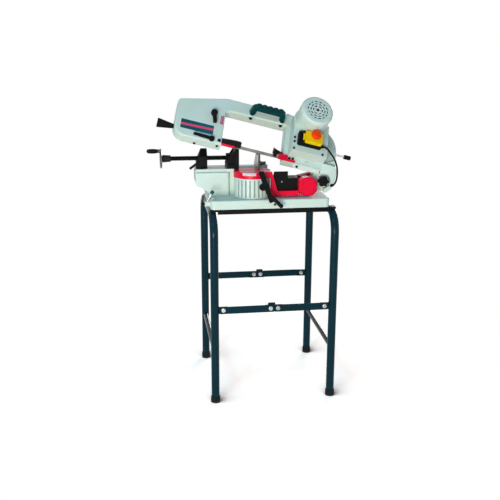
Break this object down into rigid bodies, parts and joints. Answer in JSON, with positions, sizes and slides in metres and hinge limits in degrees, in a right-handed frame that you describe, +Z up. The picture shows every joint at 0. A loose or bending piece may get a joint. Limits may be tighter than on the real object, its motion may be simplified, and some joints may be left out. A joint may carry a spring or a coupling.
{
  "type": "metal cutting band saw on a stand",
  "caption": "Horizontal metal cutting band saw: a hinged bow with a motor and blade over a vise, on a swivel base and a tubular steel stand.",
  "frame": {"origin": "on the floor, midway between the four legs", "axes": "+X to the operator's right along the cut's square setting, +Y away from the operator, +Z up"},
  "size_m": [0.8457, 0.5084, 1.2451],
  "materials": {
    "stand_paint": "gloss dark blue-green enamel",
    "rail_paint": "black enamel",
    "rubber": "matt black",
    "zinc": "zinc plated",
    "body_paint": "pale grey-green, fine texture",
    "red_paint": "gloss red",
    "black_iron": "black painted casting",
    "black_steel": "blackened steel",
    "steel": "ground steel",
    "chrome": "polished",
    "black_plastic": "matt black",
    "teal_plastic": "dark green-blue moulding",
    "yellow_plastic": "gloss yellow",
    "orange_plastic": "gloss orange-red",
    "green_plastic": "gloss green",
    "aluminium": "cast",
    "copper_core": "laminated core",
    "blade_steel": "blade steel"
  },
  "bodies": {
    "stand": {"left_leg_frame": "stand_paint", "right_leg_frame": "stand_paint", "stand_rails": "rail_paint", "front_brace": "stand_paint", "rear_brace": "stand_paint", "brace_splices": "stand_paint", "rubber_feet": "rubber", "stand_bolts": "zinc", "base_casting": "body_paint", "swivel_pin": "steel", "lock_stud": "black_steel", "fixed_jaw": "black_iron", "nut_housing": "black_iron"},
    "lock_lever": {"lock_lever": "black_plastic"},
    "half_nut": {"half_nut": "steel"},
    "release_lever": {"release_lever": "black_plastic"},
    "moving_jaw": {"moving_jaw": "black_iron"},
    "vise_screw": {"vise_screw": "black_steel", "handwheel": "chrome"},
    "crank_grip": {"crank_grip": "black_plastic"},
    "carrier": {"swivel_carrier": "red_paint", "pivot_block": "red_paint", "stop_box": "black_plastic", "pivot_pin": "steel"},
    "brake_knob": {"brake_knob": "black_plastic"},
    "bow": {"idler_housing": "body_paint", "bow_beam": "body_paint", "drive_housing": "body_paint", "rear_cover": "rail_paint", "gearbox_cover": "body_paint", "motor_housing": "body_paint", "fan_cover": "body_paint", "stator": "copper_core", "bearings": "steel", "blade": "blade_steel", "right_guide": "black_iron", "right_guard": "red_paint", "carry_handle": "teal_plastic", "switch_box": "black_plastic", "switch_lead": "rubber", "lead_gland": "black_plastic", "side_rod": "chrome", "side_grip": "black_plastic"},
    "rotor": {"rotor": "steel"},
    "layshaft": {"layshaft": "steel"},
    "drive_wheel": {"drive_shaft": "steel", "drive_wheel": "aluminium"},
    "idler_wheel": {"idler_wheel": "aluminium"},
    "tension_carriage": {"tension_carriage": "black_steel"},
    "tension_knob": {"tension_knob": "black_plastic"},
    "tension_lock": {"tension_lock": "black_plastic"},
    "left_guide": {"left_guide": "black_iron", "left_guard": "red_paint"},
    "guide_clamp": {"guide_clamp": "black_plastic"},
    "stop_flap": {"stop_flap": "yellow_plastic"},
    "stop_button": {"stop_button": "orange_plastic"},
    "start_button": {"start_button": "green_plastic"}
  },
  "joints": [
    {"name": "swivel", "type": "hinge", "parent": "stand", "child": "carrier", "pos_m": [-0.075, -0.105, 0.93], "axis": [0, 0, 1], "range_deg": [0, 45]},
    {"name": "arm_pivot", "type": "hinge", "parent": "carrier", "child": "bow", "pos_m": [0.212, -0.105, 0.91], "axis": [0, 1, 0], "range_deg": [-14.5, 35]},
    {"name": "lock_lever_turn", "type": "hinge", "parent": "stand", "child": "lock_lever", "pos_m": [-0.045, -0.2, 0.902], "axis": [0, -0.9659, 0.2588], "range_deg": [0, 40]},
    {"name": "release_turn", "type": "hinge", "parent": "stand", "child": "release_lever", "pos_m": [-0.2912, -0.038, 0.977], "axis": [0, 1, 0], "range_deg": [0, 40]},
    {"name": "half_nut_slide", "type": "slide", "parent": "stand", "child": "half_nut", "axis": [0, 0, -1], "range_m": [0, 0.004]},
    {"name": "jaw_slide", "type": "slide", "parent": "stand", "child": "moving_jaw", "axis": [1, 0, 0], "range_m": [-0.03, 0.074]},
    {"name": "screw_spin", "type": "hinge", "parent": "moving_jaw", "child": "vise_screw", "pos_m": [-0.124, -0.022, 0.996], "axis": [1, 0, 0], "range_deg": [-2700, 6660]},
    {"name": "crank_spin", "type": "hinge", "parent": "vise_screw", "child": "crank_grip", "pos_m": [-0.4493, -0.022, 1.02696], "axis": [1, 0, 0], "continuous": true},
    {"name": "brake_turn", "type": "hinge", "parent": "carrier", "child": "brake_knob", "pos_m": [0.212, -0.1213, 0.91], "axis": [0, -1, 0], "range_deg": [0, 180]},
    {"name": "rotor_spin", "type": "hinge", "parent": "bow", "child": "rotor", "pos_m": [0.16956, -0.08138, 1.14528], "axis": [0.1609, -0.766, 0.6223], "continuous": true},
    {"name": "layshaft_spin", "type": "hinge", "parent": "bow", "child": "layshaft", "pos_m": [0.15001, -0.07951, 1.08837], "axis": [0.1609, -0.766, 0.6223], "continuous": true},
    {"name": "drive_spin", "type": "hinge", "parent": "bow", "child": "drive_wheel", "pos_m": [0.1763, -0.05486, 1.03156], "axis": [0.1609, -0.766, 0.6223], "continuous": true},
    {"name": "tension_slide", "type": "slide", "parent": "bow", "child": "tension_carriage", "axis": [0.9681, 0, -0.2504], "range_m": [0, 0.006]},
    {"name": "tension_turn", "type": "hinge", "parent": "bow", "child": "tension_knob", "pos_m": [-0.38844, -0.10993, 1.13635], "axis": [0.9681, 0, -0.2504], "range_deg": [0, 1440]},
    {"name": "idler_spin", "type": "hinge", "parent": "tension_carriage", "child": "idler_wheel", "pos_m": [-0.28163, -0.05486, 1.14999], "axis": [0.1609, -0.766, 0.6223], "continuous": true},
    {"name": "tension_lock_turn", "type": "hinge", "parent": "bow", "child": "tension_lock", "pos_m": [-0.22341, -0.05792, 1.17938], "axis": [0.1609, -0.766, 0.6223], "range_deg": [0, 80]},
    {"name": "guide_slide", "type": "slide", "parent": "bow", "child": "left_guide", "axis": [0.9681, 0, -0.2504], "range_m": [0, 0.02]},
    {"name": "guide_clamp_turn", "type": "hinge", "parent": "bow", "child": "guide_clamp", "pos_m": [-0.24216, -0.13698, 1.08691], "axis": [0.1609, -0.766, 0.6223], "range_deg": [-45, 0]},
    {"name": "flap_turn", "type": "hinge", "parent": "bow", "child": "stop_flap", "pos_m": [0.12429, -0.15967, 1.09405], "axis": [-0.1918, -0.6428, -0.7416], "range_deg": [0, 100]},
    {"name": "stop_press", "type": "slide", "parent": "stop_flap", "child": "stop_button", "axis": [-0.1609, 0.766, -0.6223], "range_m": [0, 0.003], "stiffness_N_per_m": 500},
    {"name": "start_press", "type": "slide", "parent": "bow", "child": "start_button", "axis": [-0.1609, 0.766, -0.6223], "range_m": [0, 0.002], "stiffness_N_per_m": 500}
  ],
  "couplings": [
    {"joint": "release_turn", "follows": "half_nut_slide", "rad_per_m": 174.53},
    {"joint": "screw_spin", "follows": "jaw_slide", "rad_per_m": 1570.8},
    {"joint": "tension_turn", "follows": "tension_slide", "rad_per_m": 4188.8},
    {"joint": "layshaft_spin", "follows": "rotor_spin", "ratio": -0.2766},
    {"joint": "drive_spin", "follows": "rotor_spin", "ratio": 0.084181},
    {"joint": "idler_spin", "follows": "rotor_spin", "ratio": 0.084181}
  ]
}
